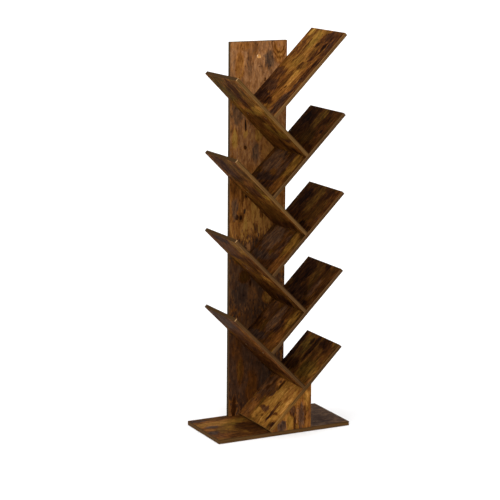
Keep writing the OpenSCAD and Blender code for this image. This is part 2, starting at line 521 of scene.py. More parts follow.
    def _grain(self, board: Reading) -> Sock:
        """Gives the growth rings, the fibres, the patches and the spots.

        Args:
            board: Where the decor is read.

        Returns:
            The change of tone.
        """
        grain = ((board.noise(self.RINGS) * self.BOARD_RINGS).wave() - 0.5) * 0.05
        for fibre in self.FIBRES:
            grain = grain + board.swing(fibre) * self.crisp
        grain = grain + (board.noise(self.PATCH).step(0.36, 0.64) - 0.5) * self.PATCH.swing
        for spots in self.SPOTS:
            grain = grain + board.noise(spots.layer).step(spots.low, spots.high) * spots.tone
        return grain

    def _bare_chip(self, along: Sock, across: Sock, out: Sock, colour: Sock) -> Sock:
        """Shows bare chipboard in the wall screw's recess, its wall painted nearly as pale as its floor as
        painted light against the shade inside.

        Args:
            along: The place along the board.
            across: The place across it.
            out: The place out of it.
            colour: The decor's colour.

        Returns:
            The colour with the recess.
        """
        desk = along.desk
        apart = desk.combine(along - self.recess[0], across - self.recess[1], 0.0)
        beyond = desk.vector("LENGTH", apart, output="Value") - self.RECESS_RADIUS
        inside = beyond.step(0.4, 0.1) * out.step(-0.15, -0.35)
        chips = desk.noise(desk.combine(along, across, out), 0.55, 3.0, 0.7)
        # The wall's pale colour is painted light, against the shade in the recess
        bare = desk.blend(self.CHIP_WALL, self.CHIP_FLOOR, out.step(-6.8, -7.6))
        bare = desk.blend(bare, self.CHIP_DARK, chips.step(0.5, 0.8) * 0.5)
        return desk.blend(colour, bare, inside)


@dataclass(frozen=True)
class StripFinish:
    """The plain grey-brown strips: faint streaks, and a pale line on the arrises, which is a painted
    highlight.

    upper_highlight and lower_highlight are the strengths of the painted highlight, a pale line on the arris
    of the show face, called upper, and on the other one; upper_shade and lower_shade are those of
    the painted shade, a dark line beside it. golden_foot is how far a golden streak runs up from
    the foot, and deepens is the painted shade that makes the foot darker than the tip.
    """

    name: str
    lie: Lie
    ground: Triple
    pale_highlight: Triple
    upper_highlight: float
    lower_highlight: float
    length: float
    seed: float = 0.0
    thick: float = 15.0
    end_glint: float = 0.0
    golden_foot: float = 0.0
    painted_foot_shade: float = 0.0
    upper_shade: float = 0.0
    lower_shade: float = 0.0

    STREAK = Layer(90.0, 3.2, 0.0, 3.0)
    FLECK = Layer(14.0, 1.2, 5.0, 2.0)
    BLOTCH = Layer(60.0, 60.0, 9.0, 2.0)
    GOLD, PALE_GOLD = srgb(108, 73, 30), srgb(168, 122, 60)
    TIP, GLINT = srgb(62, 42, 20), srgb(176, 136, 92)
    # Where the painted highlight's pale line and the painted shade's dark line lie
    WEAR_LINE, SHADE_LINE = (-2.6, -0.6), (-3.6, -1.8)  # from the arris inwards, in millimetres
    SLANT = 0.064  # how far the streaks move on, for each millimetre across the board

    def material(self) -> Material:
        """Makes the strips' material.

        Returns:
            The material.
        """
        desk = Desk(self.name)
        along, across, out = self.lie.reading(desk)
        below, past_end = out * -1.0 - self.thick, along - self.length
        streak = Reading(along, out + across * self.SLANT, self.seed).noise(self.STREAK)
        fleck = Reading(along, out, self.seed).noise(self.FLECK)
        blotch = Reading(along, across, self.seed).noise(self.BLOTCH)
        colour = desk.blend(self.ground, scaled(self.ground, 0.45), streak.step(0.42, 0.72) * 0.75)
        # Pale flecks, in the same colour as the painted highlight
        colour = desk.blend(colour, self.pale_highlight, fleck.step(0.58, 0.8) * 0.35)
        if self.golden_foot:
            share = along.step(self.golden_foot, self.golden_foot * 0.4) * streak.step(0.66, 0.4)
            colour = desk.blend(colour, self.GOLD, share)
            colour = desk.blend(colour, self.PALE_GOLD, share * out.step(-5.0, -2.0))
        # Painted shade: the strip grows darker towards its foot
        if self.painted_foot_shade:
            colour = desk.blend(colour, BLACK, along.step(self.length, 0.0) * self.painted_foot_shade)
        # Painted highlight: a pale, patchy line along the arrises; painted shade: a dark line beside it
        pale_highlight, shaded = self.WEAR_LINE, self.SHADE_LINE
        highlight_share = out.step(*pale_highlight) * self.upper_highlight + below.step(*pale_highlight) * self.lower_highlight
        colour = desk.blend(colour, self.pale_highlight, (highlight_share * (blotch * 1.2 + 0.35)).clamped())
        shade = out.step(*shaded) * self.upper_shade + below.step(*shaded) * self.lower_shade
        colour = desk.blend(colour, scaled(self.ground, 0.35), shade)
        if self.end_glint:
            colour = desk.blend(colour, self.TIP, past_end.step(-1.1, -0.9))
            corner = past_end.step(-2.6, -1.2) * across.step(2.4, 1.2)
            colour = desk.blend(colour, self.GLINT, corner * self.end_glint)
        return desk.finish(
            Base_Color=colour,
            Roughness=(fleck * 0.2 + 0.5).clamped(),
            Specular_IOR_Level=0.02,
            Normal=desk.bump(streak, 0.08),
        )


@dataclass(frozen=True)
class ZincFinish:
    """Yellow zinc plated steel of the panel screws."""

    name: str = "screw_zinc"
    dark: Triple = srgb(122, 100, 66)
    pale: Triple = srgb(168, 142, 98)

    def material(self) -> Material:
        """Makes the screws' material.

        Returns:
            The material.
        """
        desk = Desk(self.name)
        cloud = desk.noise(desk.place(), 350.0, 3.0)
        scratch = desk.noise(desk.vector("MULTIPLY", desk.place(), (900.0, 60.0, 900.0)))
        return desk.finish(
            Base_Color=desk.blend(self.dark, self.pale, cloud),
            Metallic=1.0,
            Roughness=(scratch * 0.25 + 0.22).clamped(),
            Normal=desk.bump(scratch, 0.02),
        )


@dataclass(frozen=True)
class BeechFinish:
    """Plain beech of the dowels, with its short, fine flecks."""

    name: str = "dowel_beech"
    pale: Triple = srgb(208, 172, 126)
    dark: Triple = srgb(171, 128, 84)

    def material(self) -> Material:
        """Makes the dowels' material.

        Returns:
            The material.
        """
        desk = Desk(self.name)
        fibre = desk.noise(desk.vector("MULTIPLY", desk.place(), (700.0, 120.0, 700.0)), 1.0, 3.0)
        colour = desk.blend(self.pale, self.dark, fibre)
        return desk.finish(Base_Color=colour, Roughness=0.7, Normal=desk.bump(fibre, 0.05))


@dataclass(frozen=True)
class FloorFinish:
    """The pale, matt studio floor."""

    name: str = "studio_floor"
    paint: tuple[float, float, float, float] = (0.94, 0.94, 0.94, 1.0)

    def material(self) -> Material:
        """Makes the floor's material."""
        return Desk(self.name).finish(Base_Color=self.paint, Roughness=0.9, Specular_IOR_Level=0.0)


# Workbench


class Workbench:
    """The steps by which a strip is cut from a block, rounded and laid in its place."""

    ROUNDING = 0.6  # of a strip's outer arrises, in millimetres

    @staticmethod
    def clear() -> None:
        """Leaves object mode with nothing selected."""
        if bpy.context.object and bpy.context.object.mode != "OBJECT":
            bpy.ops.object.mode_set(mode="OBJECT")
        bpy.ops.object.select_all(action="DESELECT")

    @classmethod
    def take(cls, piece: Piece) -> None:
        """Selects one piece alone and makes it the active one.

        Args:
            piece: The piece.
        """
        cls.clear()
        piece.select_set(True)
        bpy.context.view_layer.objects.active = piece

    @classmethod
    def block(cls, name: str, low: Sequence[float], high: Sequence[float]) -> Piece:
        """Cuts a block between two corners, given in millimetres.

        Args:
            name: The piece's name.
            low: The lowest corner.
            high: The highest corner.

        Returns:
            The block.
        """
        cls.clear()
        size = [(b - a) * MM for a, b in zip(low, high)]
        middle = [(a + b) / 2 * MM for a, b in zip(low, high)]
        bpy.ops.mesh.primitive_cube_add(size=1.0, location=middle, scale=size)
        piece = bpy.context.object
        piece.name = piece.data.name = name
        bpy.ops.object.transform_apply(location=True, rotation=True, scale=True)
        return piece

    @classmethod
    def pick(cls, piece: Piece, kind: str, chosen: Callable[..., bool]) -> None:
        """Enters edit mode with only some corners or arrises selected.

        Args:
            piece: The piece.
            kind: VERT for corners, EDGE for arrises.
            chosen: Says by a corner, or by an arris's two ends, in millimetres, what is selected.
        """
        cls.take(piece)
        bpy.ops.object.mode_set(mode="EDIT")
        bpy.ops.mesh.select_mode(type=kind)
        bpy.ops.mesh.select_all(action="DESELECT")
        bpy.ops.object.mode_set(mode="OBJECT")
        corners = piece.data.vertices
        if kind == "VERT":
            for corner in corners:
                corner.select = chosen(corner.co / MM)
        else:
            for arris in piece.data.edges:
                arris.select = chosen(*(corners[i].co / MM for i in arris.vertices))
        bpy.ops.object.mode_set(mode="EDIT")

    @classmethod
    def round_arrises(cls, piece: Piece, axis: Axis, place: float, runs: Optional[Axis]) -> None:
        """Rounds the arrises of a strip's outer face.

        Args:
            piece: The strip.
            axis: The direction that the face looks along.
            place: Where the face lies on it, in millimetres.
            runs: The direction in which the arrises run, where only those are rounded.
        """

        def chosen(first: Vector, second: Vector) -> bool:
            """Says whether an arris between two points is rounded."""
            on_face = abs(first[axis] - place) < NEAR and abs(second[axis] - place) < NEAR
            return on_face and (runs is None or abs(first[runs] - second[runs]) > NEAR)

        cls.pick(piece, "EDGE", chosen)
        bpy.ops.mesh.bevel(offset=cls.ROUNDING * MM, segments=3, affect="EDGES", clamp_overlap=True)
        bpy.ops.mesh.select_all(action="SELECT")
        bpy.ops.mesh.normals_make_consistent(inside=False)
        bpy.ops.object.mode_set(mode="OBJECT")

    @classmethod
    def strip(
        cls, name: str, low: Sequence[float], high: Sequence[float], face: Face, runs: Optional[Axis] = None
    ) -> Piece:
        """Cuts an edge strip and rounds its outer face's arrises.

        Args:
            name: The strip's name.
            low: Its lowest corner, in millimetres.
            high: Its highest corner.
            face: Its outer face.
            runs: The direction in which the arrises run, where only those are rounded.

        Returns:
            The strip.
        """
        piece = cls.block(name, low, high)
        axis, is_far = face.value
        cls.round_arrises(piece, axis, (high if is_far else low)[axis], runs)
        return piece

    @classmethod
    def edging(
        cls, board: str, low: Triple, high: Triple, thick: float, ends: Sequence[Face]
    ) -> list[Piece]:
        """Cuts the strips of a board, the short ones to fit between the front and the back one.

        Args:
            board: The board's name.
            low: Its lowest corner with its strips, in millimetres.
            high: Its highest corner.
            thick: How thick the strips are.
            ends: The ends that have a strip.

        Returns:
            The front strip, the back strip and those of the ends.
        """
        (left, near, under), (right, far, top) = low, high
        first, last = near + thick, far - thick
        pieces = [
            cls.strip(f"front_strip_{board}", low, (right, first, top), Face.FRONT),
            cls.strip(f"back_strip_{board}", (left, last, under), high, Face.BACK),
        ]
        for end in ends:
            start = right - thick if end is Face.RIGHT else left
            corners = (start, first, under), (start + thick, last, top)
            pieces.append(cls.strip(f"{end.name.lower()}_strip_{board}", *corners, end, Axis.Y))
        return pieces

    @classmethod
    def drill(cls, piece: Piece, start: Vector, run: Vector, radius_mm: float) -> None:
        """Drills a hole through a piece.

        Args:
            piece: The piece.
            start: The hole's middle, in millimetres.
            run: The hole's direction and half its length, in millimetres.
            radius_mm: The hole's radius.
        """
        cls.clear()
        turned = run.to_track_quat("Z", "Y").to_euler()
        radius, depth = radius_mm * MM, 2 * run.length * MM
        bpy.ops.mesh.primitive_cylinder_add(
            vertices=48, radius=radius, depth=depth, location=start * MM, rotation=turned
        )
        drill_bit = bpy.context.object
        cls.take(piece)
        cut = piece.modifiers.new("hole", "BOOLEAN")
        cut.operation, cut.solver, cut.object = "DIFFERENCE", "EXACT", drill_bit
        bpy.ops.object.modifier_apply(modifier=cut.name)
        bpy.data.objects.remove(drill_bit, do_unlink=True)

    @classmethod
    def lay(cls, piece: Piece, lie: Lie) -> None:
        """Lays a piece made in a board's own frame in its place in the shelf.

        Args:
            piece: The piece.
            lie: How the board lies.
        """
        cls.take(piece)
        piece.matrix_world = lie.matrix()
        bpy.ops.object.transform_apply(location=True, rotation=True, scale=True)

    @classmethod
    def join(cls, pieces: Sequence[Piece], name: str) -> Piece:
        """Joins the strips of one board to one piece.

        Args:
            pieces: The strips.
            name: The joined piece's name.

        Returns:
            The joined piece.
        """
        cls.take(pieces[0])
        for piece in pieces:
            piece.select_set(True)
        if len(pieces) > 1:
            bpy.ops.object.join()
        joined = bpy.context.view_layer.objects.active
        joined.name = joined.data.name = name
        return joined


def dress(node: str, material: Material) -> None:
    """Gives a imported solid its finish.

    Args:
        node: The solid's node.
        material: The finish.
    """
    solid = bpy.data.objects[node]
    for place in solid.material_slots:
        place.material = material
    if not solid.material_slots:
        solid.data.materials.append(material)
    LOG.info("%s dressed in %s", node, material.name)


def set_strips(pieces: Sequence[Piece], finish: StripFinish, node: str) -> Piece:
    """Joins a board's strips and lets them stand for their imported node.

    Args:
        pieces: The strips in their places.
        finish: Their finish, whose name starts with strip_ and ends with the board's.
        node: The node that they replace.

    Returns:
        The strips, as one piece.
    """
    name = finish.name if len(pieces) == 1 else finish.name.replace("strip", "strips")
    strips = Workbench.join(pieces, name)
    strips.data.materials.clear()
    strips.data.materials.append(finish.material())
    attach(strips, "root")
    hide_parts(node)
    return strips


# The pieces


@dataclass
class ShelfSizes:
    """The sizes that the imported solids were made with, in millimetres."""

    total_height: float = 1380.0
    base_width: float = 510.0
    depth: float = 250.0
    board: float = 15.0
    branch_board: float = 12.0
    strip: float = 1.0
    trunk_width: float = 220.0
    trunk_top: float = 1340.0
    tree_shift: float = 7.0
    zigzag_shift: float = 4.0
    right_branches: int = 5
    branch_length: float = 380.0
    foot_past: float = 8.0
    first_screw: float = 50.0
    screw_past_joint: float = 21.0
    screw_hole: float = 3.25
    support_width: float = 155.0
    recess_height: float = 1288.0
    slope: float = math.sqrt(0.5)

    @property
    def front(self) -> float:
        """The front face of the whole shelf."""
        return -self.depth / 2

    @property
    def trunk_face(self) -> float:
        """The trunk's front face."""
        return self.depth / 2 - self.board

    @property
    def trunk_left(self) -> float:
        """The trunk's left edge."""
        return self.tree_shift - self.trunk_width / 2

    @property
    def branch_depth(self) -> float:
        """How deep the branches are."""
        return self.trunk_face - self.front

    @property
    def drop(self) -> float:
        """The drop from one branch to the next below it on the same side."""
        rise = (self.branch_length + self.branch_board + self.foot_past) * self.slope
        return (self.total_height - rise - self.board) / (self.right_branches - 1)

    @property
    def joint(self) -> float:
        """How far a joint lies beside the zigzag's middle."""
        return self.drop / 4

    @property
    def zigzag(self) -> float:
        """Where the zigzag's middle lies."""
        return self.tree_shift + self.zigzag_shift

    @property
    def foot(self) -> float:
        """Where the underside of the lowest branch meets the base plate."""
        return self.zigzag - self.joint + (self.branch_board - self.foot_past) * self.slope

    def branch_lie(self, side: Side, count: int) -> Lie:
        """Says how a branch lies, with the face that shows from the front left outwards.

        Args:
            side: The side to which it rises.
            count: Its number from the top.

        Returns:
            The upper face's lie on the right, and the underside's on the left.
        """
        s = self.slope
        height = self.total_height - self.branch_length * s - (count - 1) * self.drop
        if side is Side.RIGHT:
            corner = (self.zigzag - self.joint, self.front, height)
            return Lie(corner, (s, 0, s), (0, 1, 0), (-s, 0, s))
        under = self.branch_board * s
        corner = (self.zigzag + self.joint - under, self.front, height - 2 * self.joint - under)
        return Lie(corner, (-s, 0, s), (0, 1, 0), (-s, 0, -s))


@dataclass
class Branch:
    """One branch board with its edge strips."""

    side: Side
    count: int
    tone: float
    glow: float
    strip_colour: Triple
    marks: tuple[Mark, ...] = ()
    knots: tuple[Knot, ...] = ()
    sizes: ShelfSizes = field(default_factory=ShelfSizes)

    @property
    def key(self) -> str:
        """The branch's side and number, as in the nodes' names."""
        return f"{self.side.name.lower()}_{self.count}"

    @property
    def is_left(self) -> bool:
        """True for a branch that rises to the left."""
        return self.side is Side.LEFT

    @property
    def is_lowest(self) -> bool:
        """True for the branch that stands on the base plate."""
        return not self.is_left and self.count == self.sizes.right_branches

    def build(self) -> Piece:
        """Makes the branch's strips and dresses its board.

        Returns:
            The strips, as one piece.
        """
        sizes = self.sizes
        lie = sizes.branch_lie(self.side, self.count)
        low = (-sizes.foot_past if self.is_lowest else 0.0, 0.0, -sizes.branch_board)
        high = (sizes.branch_length, sizes.branch_depth, 0.0)
        ends = (Face.RIGHT, Face.LEFT) if self.is_lowest else (Face.RIGHT,)
        pieces = Workbench.edging(self.key, low, high, sizes.strip, ends)
        past_joint = 2 * sizes.joint / sizes.slope + sizes.screw_past_joint
        through = Vector((0, 3 * sizes.strip, 0))
        for reach in (sizes.first_screw, past_joint):
            middle = Vector((reach, sizes.branch_depth, -sizes.branch_board / 2))
            Workbench.drill(pieces[1], middle, through, sizes.screw_hole)
        for piece in pieces:
            Workbench.lay(piece, lie)
        strips = set_strips(pieces, self._strip_finish(lie), f"bands_{self.key}")
        decor = Decor(
            f"decor_{self.key}", lie, self.tone, self.glow, self.marks, self.knots,
            seed=self.count * 17.3 + (100.7 if self.is_left else 0.0),
            sheen=0.004 if self.is_left else 0.012,
        )
        dress(f"branch_{self.key}", decor.material())
        return strips

    def _strip_finish(self, lie: Lie) -> StripFinish:
        """Makes the strips' finish.

        Args:
            lie: How the board lies.

        Returns:
            The finish, in the branch's strip colour, with a painted highlight on the show face's arris and,
            on the left branches, painted shade on the other arris.
        """
        left = self.is_left
        # The strips get a painted highlight on the show face's arris, and on the left also painted shade on
        # the other arris
        return StripFinish(
            name=f"strip_{self.key}",
            lie=lie,
            ground=self.strip_colour,
            pale_highlight=scaled(self.strip_colour, 1.75),
            upper_highlight=0.6 if left else 0.9,
            lower_highlight=0.0,
            length=self.sizes.branch_length,
            seed=self.count * 3.7 + (50.0 if left else 0.0),
            thick=self.sizes.branch_board,
            end_glint=0.8 if left else 0.0,
            lower_shade=min(0.4 + 0.15 * self.count, 0.9) if left else 0.0,
            golden_foot=200.0 if self.is_lowest else 0.0,
        )


@dataclass
class Panel:
    """A board that isn't a branch, with the marks and the knots of its decor."""

    marks: tuple[Mark, ...]
    knots: tuple[Knot, ...] = ()
    sizes: ShelfSizes = field(default_factory=ShelfSizes)


class Trunk(Panel):
    """The upright panel with its strips and the wall screw's recess."""

    def build(self) -> Piece:
        """Makes the trunk's strips and dresses its panel.

        Returns:
            The strips, as one piece.
        """
        sizes = self.sizes
        left, right = sizes.trunk_left, sizes.trunk_left + sizes.trunk_width
        near, far, strip = sizes.trunk_face, sizes.depth / 2, sizes.strip
        low, top = sizes.board, sizes.trunk_top
        under, inner = top - strip, (left + strip, right - strip)
        pieces = [
            Workbench.strip("left_strip_trunk", (left, near, low), (inner[0], far, top), Face.LEFT),
            Workbench.strip("right_strip_trunk", (inner[1], near, low), (right, far, top), Face.RIGHT),
            Workbench.strip(
                "top_strip_trunk", (inner[0], near, under), (inner[1], far, top), Face.TOP, Axis.X
            ),
        ]
        lie = Lie((left, near, low), (0, 0, 1), (1, 0, 0), (0, -1, 0))
        # Its strips' pale arris lines are a painted highlight, and their darker foot is painted shade
        finish = StripFinish(
            name="strip_trunk", lie=lie, ground=srgb(72, 51, 27), pale_highlight=srgb(98, 68, 38),
            upper_highlight=0.8, lower_highlight=0.2, length=top - low, seed=71.0, painted_foot_shade=0.45,
        )
        strips = set_strips(pieces, finish, "trunk_edge_bands")
        decor = Decor(
            "decor_trunk", lie, tone=0.65, glow=-0.15, marks=self.marks, knots=self.knots, seed=211.0,
            recess=(sizes.recess_height - low, sizes.trunk_width / 2), crisp=1.0, calm_below=590.0,
        )
        dress("trunk_panel", decor.material())
        return strips


class Base(Panel):
    """The base plate with its four strips."""

    def build(self) -> Piece:
        """Makes the base plate's strips and dresses its board.

        Returns:
            The strips, as one piece.
        """
        sizes = self.sizes
        half, thick = sizes.base_width / 2, sizes.board
        low, high = (-half, sizes.front, 0.0), (half, sizes.depth / 2, thick)
        pieces = Workbench.edging("base", low, high, sizes.strip, (Face.LEFT, Face.RIGHT))
        lie = Lie((-half, sizes.front, thick), (1, 0, 0), (0, 1, 0), (0, 0, 1))
        # Its strips get a faint painted highlight on the lower arris and painted shade on the upper one
        finish = StripFinish(
            name="strip_base", lie=lie, ground=srgb(84, 58, 30), pale_highlight=srgb(92, 62, 32),
            upper_highlight=0.0, lower_highlight=0.1, length=sizes.base_width, seed=83.0, upper_shade=0.6,
        )
        strips = set_strips(pieces, finish, "base_edge_bands")
        decor = Decor(
            "decor_base", lie, tone=0.44, glow=0.3, marks=self.marks, knots=self.knots, seed=307.0,
            sheen=0.03,
        )
        dress("base_plate", decor.material())
        return strips


class Support(Panel):
    """The triangular front support with the strip on its upright edge."""

    def build(self) -> Piece:
        """Makes the support's strip and dresses its panel.

        Returns:
            The strip.
        """
        sizes = self.sizes
        right = sizes.foot + sizes.support_width
        near, low = sizes.front, sizes.board
        top = low + sizes.support_width
        strip = Workbench.block(
            "strip_support", (right - sizes.strip, near, low), (right, near + sizes.board, top)
        )
        Workbench.pick(strip, "VERT", lambda a: a.z > top - NEAR and a.x < right - NEAR)
        bpy.ops.transform.translate(value=(0.0, 0.0, -sizes.strip * MM))
        Workbench.round_arrises(strip, Axis.X, right, Axis.Z)
        lie = Lie((sizes.foot, near, low), (0, 0, 1), (1, 0, 0), (0, -1, 0))
        # Its strip gets a painted highlight on its arrises
        finish = StripFinish(
            name="strip_support", lie=lie, ground=srgb(82, 58, 33), pale_highlight=srgb(108, 78, 46),
            upper_highlight=0.9, lower_highlight=0.1, length=sizes.support_width, seed=97.0,
        )
        strip = set_strips([strip], finish, "front_support_band")
        decor = Decor(
            "decor_support", lie, tone=0.55, glow=0.05, marks=self.marks, seed=401.0, crisp=1.0
        )
        dress("front_support", decor.material())
        return strip


@dataclass
class Fasteners:
    """Panel screws and wooden dowels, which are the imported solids."""

    screws: tuple[str, ...] = ("branch_screws", "joint_screws", "trunk_foot_screws", "support_screws")
    dowels: tuple[str, ...] = ("trunk_foot_dowels", "support_dowels")

    def build(self) -> None:
        """Dresses the screws and the dowels."""
        for nodes, finish in ((self.screws, ZincFinish()), (self.dowels, BeechFinish())):
            material = finish.material()
            for node in nodes:
                dress(node, material)


# Studio


@dataclass(frozen=True)
class Softbox:
    """A soft lamp: where it hangs and how wide it looks, in degrees, and its strength."""

    name: str
    azimuth: float
    elevation: float
    width: float
    strength: float


@dataclass
class Studio:
    """The pale floor, the soft lights and the camera.

    The camera's turn is its yaw, pitch and roll in degrees, its focal length is given in
    widths of its sensor, and sight is the range in which it sees, in metres.
    """

    camera_place: Triple = (-2.88338, -5.46532, 1.89603)
    camera_turn: Triple = (-27.171, -11.590, 0.428)
    focal_length: float = 3.65408
    sensor: float = 36.0
    sight: tuple[float, float] = (0.1, 200.0)
    floor_width: float = 120.0
    sky: float = 0.4
    lamps: tuple[Softbox, ...] = (
        Softbox("overhead_softbox", 0.0, 89.0, 90.0, 2.36),
        Softbox("left_softbox", -85.0, 28.0, 40.0, 0.96),
        Softbox("front_softbox", 0.0, 22.0, 40.0, 0.95),
    )

    def build(self) -> None:
        """Sets the floor, the lights and the camera."""
        self._floor()
        self._sky()
        for lamp in self.lamps:
            self._hang(lamp)
        self._camera()

    def _floor(self) -> None:
        """Lays the floor."""
        Workbench.clear()
        bpy.ops.mesh.primitive_plane_add(size=self.floor_width, location=(0.0, 0.0, 0.0))
        floor = bpy.context.object
        floor.name = floor.data.name = "studio_floor"
        floor.data.materials.append(FloorFinish().material())

    def _sky(self) -> None:
        """Surrounds the shelf with even, white light."""
        world = bpy.data.worlds.new("studio_air")
        bpy.context.scene.world = world
        world.use_nodes = True
        background = world.node_tree.nodes["Background"]
        background.inputs["Color"].default_value = (1.0, 1.0, 1.0, 1.0)
        background.inputs["Strength"].default_value = self.sky

    @staticmethod
    def _hang(softbox: Softbox) -> None:
        """Hangs one lamp, which shines towards the shelf.

        Args:
            softbox: The lamp.
        """
        lamp = bpy.data.lights.new(softbox.name, "SUN")
        lamp.angle = math.radians(softbox.width)
        lamp.energy = softbox.strength
        holder = bpy.data.objects.new(softbox.name, lamp)
        bpy.context.scene.collection.objects.link(holder)
        tilt, turn = math.radians(90.0 - softbox.elevation), math.radians(softbox.azimuth)
        holder.rotation_euler = (tilt, 0.0, turn)

    def _camera(self) -> None:
        """Places the camera, level but for a slight roll."""
        yaw, pitch, roll = (math.radians(turn) for turn in self.camera_turn)
        turned = Matrix.Rotation(yaw, 4, "Z") @ Matrix.Rotation(math.pi / 2 + pitch, 4, "X")
        turned = turned @ Matrix.Rotation(roll, 4, "Z")
        lens = bpy.data.cameras.new("camera")
        lens.sensor_width = self.sensor
        lens.lens = self.focal_length * self.sensor
        lens.clip_start, lens.clip_end = self.sight
        camera = bpy.data.objects.new("camera", lens)
        bpy.context.scene.collection.objects.link(camera)
        camera.matrix_world = Matrix.Translation(Vector(self.camera_place)) @ turned
        bpy.context.scene.camera = camera
        bpy.context.scene.view_settings.view_transform = "Standard"


# The decor's marks


def marks(*rows: tuple[float, ...]) -> tuple[Mark, ...]:
    """Makes marks of their places and sizes, and of tone, glow and edge in hundredths."""
    return tuple(Mark(*row[:4], *(share / 100 for share in row[4:])) for row in rows)


RIGHT_1 = marks(
    (235, 150, 130, 80, 59, 35), (118, 190, 36, 56, 27, -45), (168, 195, 28, 40, 38, -30),
    (70, 200, 27, 66, 16, -50), (56, 125, 17, 46, 18, -20), (150, 140, 30, 14, 47),
    (230, 148, 32, 28, 62, 60), (335, 148, 46, 26, 68, 90), (362, 205, 20, 15, 74, 80),
    (290, 196, 44, 16, 46), (300, 172, 34, 5, 34, 10), (252, 166, 14, 5, 28, 20),
    (140, 114, 56, 14, 35, 20), (96, 82, 40, 32, 62, 20), (158, 80, 42, 18, 76, 40),
    (182, 88, 16, 9, 86, 70), (122, 82, 8, 6, 24, 10), (150, 52, 66, 14, 58, 15),
    (228, 52, 40, 12, 50, 10), (212, 98, 20, 14, 38, 40), (285, 88, 44, 12, 48, 30),
    (264, 74, 26, 9, 26), (312, 105, 13, 8, 18, 20), (346, 98, 26, 11, 33), (352, 62, 28, 32, 29, -35),
    (298, 54, 30, 10, 8), (344, 46, 14, 8, 10, -10), (235, 18, 165, 22, 31, -10, 40),
    (55, 32, 46, 24, 28, -60), (228, 22, 30, 8, 10, 10), (140, 28, 30, 7, 26, -50),
    (310, 26, 30, 10, 22, -50),
)

RIGHT_2 = marks(
    (310, 190, 80, 60, 17, 10), (322, 190, 26, 16, 8, -30), (332, 112, 50, 26, 54, 70),
    (354, 90, 18, 7, 66, 80), (256, 90, 34, 50, 34, 50), (216, 55, 18, 44, 15, 10),
    (278, 38, 46, 26, 40), (334, 58, 20, 16, 25), (286, 38, 9, 7, 14, -50), (320, 18, 60, 10, 33, 10),
    (130, 170, 56, 64, 50, -65), (150, 225, 30, 14, 52, 10), (62, 150, 20, 60, 30, -90),
    (38, 100, 14, 50, 30, -30), (120, 82, 66, 20, 36, -50), (68, 88, 14, 20, 25, -60),
    (50, 34, 50, 24, 53, 10), (130, 34, 46, 22, 62, 60), (160, 50, 22, 12, 67, 60),
)

RIGHT_3 = marks(
    (250, 175, 44, 66, 26, -10), (320, 185, 34, 30, 9, -10), (330, 214, 50, 16, 20, 10),
    (318, 114, 62, 26, 53, 60), (348, 98, 14, 8, 66, 60), (350, 56, 24, 28, 27, -20),
    (276, 54, 50, 34, 39, 30), (216, 82, 14, 20, 16), (205, 35, 10, 30, 20), (340, 18, 40, 10, 33),
    (130, 170, 56, 60, 51, -70), (56, 160, 20, 66, 33, -90), (66, 84, 14, 28, 32, -60),
    (30, 90, 14, 40, 30, -20), (116, 82, 50, 18, 37, -50), (126, 86, 12, 6, 22), (44, 30, 44, 24, 52),
    (122, 38, 48, 22, 60, 60), (160, 52, 20, 16, 66, 60),
)

RIGHT_4 = marks(
    (320, 186, 66, 52, 14), (238, 140, 36, 70, 25, -40), (262, 215, 22, 12, 34, 40),
    (332, 106, 48, 26, 48, 40), (300, 96, 30, 12, 42, 50), (274, 60, 40, 14, 44, -40),
    (302, 56, 12, 8, 50, -60), (246, 82, 9, 7, 12, 40), (368, 76, 12, 16, 20),
    (210, 60, 12, 50, 18, -40), (290, 26, 80, 18, 30, 10), (115, 125, 64, 28, 49, -60),
    (140, 195, 46, 34, 42, -30), (38, 158, 18, 60, 27, -90), (94, 82, 26, 18, 20, -60),
    (150, 88, 30, 14, 32, -10), (48, 36, 46, 26, 51), (140, 36, 46, 22, 60, 60),
)

RIGHT_5 = marks(
    (95, 70, 110, 85, 74, 50, 40), (30, 205, 62, 38, 56, -10), (132, 192, 50, 46, 44, -45),
    (128, 190, 12, 10, 20, 10), (162, 182, 30, 7, 26, -10), (164, 152, 18, 18, 74, 10),
    (165, 147, 6, 6, 45, -30), (122, 140, 20, 10, 42, -30), (155, 128, 20, 7, 28, 10),
    (30, 145, 30, 14, 82, 50), (54, 128, 9, 26, 40, -30), (54, 112, 14, 15, 36, -40),
    (28, 104, 7, 6, 40, 30), (58, 62, 48, 9, 40, -10), (42, 60, 22, 9, 20, -30), (54, 34, 6, 18, 42),
    (34, 30, 12, 8, 80, 50), (118, 95, 30, 18, 88, 60), (142, 64, 34, 12, 84, 30),
    (92, 18, 36, 12, 90, 40), (128, 40, 46, 7, 68, 20), (290, 222, 90, 20, 10),
    (244, 172, 24, 40, 26, 20), (328, 174, 44, 30, 52, 90), (300, 186, 16, 14, 44, 30),
    (325, 132, 66, 13, 15, -10), (352, 158, 12, 9, 20, 10), (250, 66, 36, 50, 50, 80),
    (318, 90, 36, 16, 46, 30), (358, 76, 20, 40, 26, -10), (245, 20, 24, 14, 68, 60),
    (318, 26, 40, 16, 42), (340, 52, 40, 8, 30, -10),
)

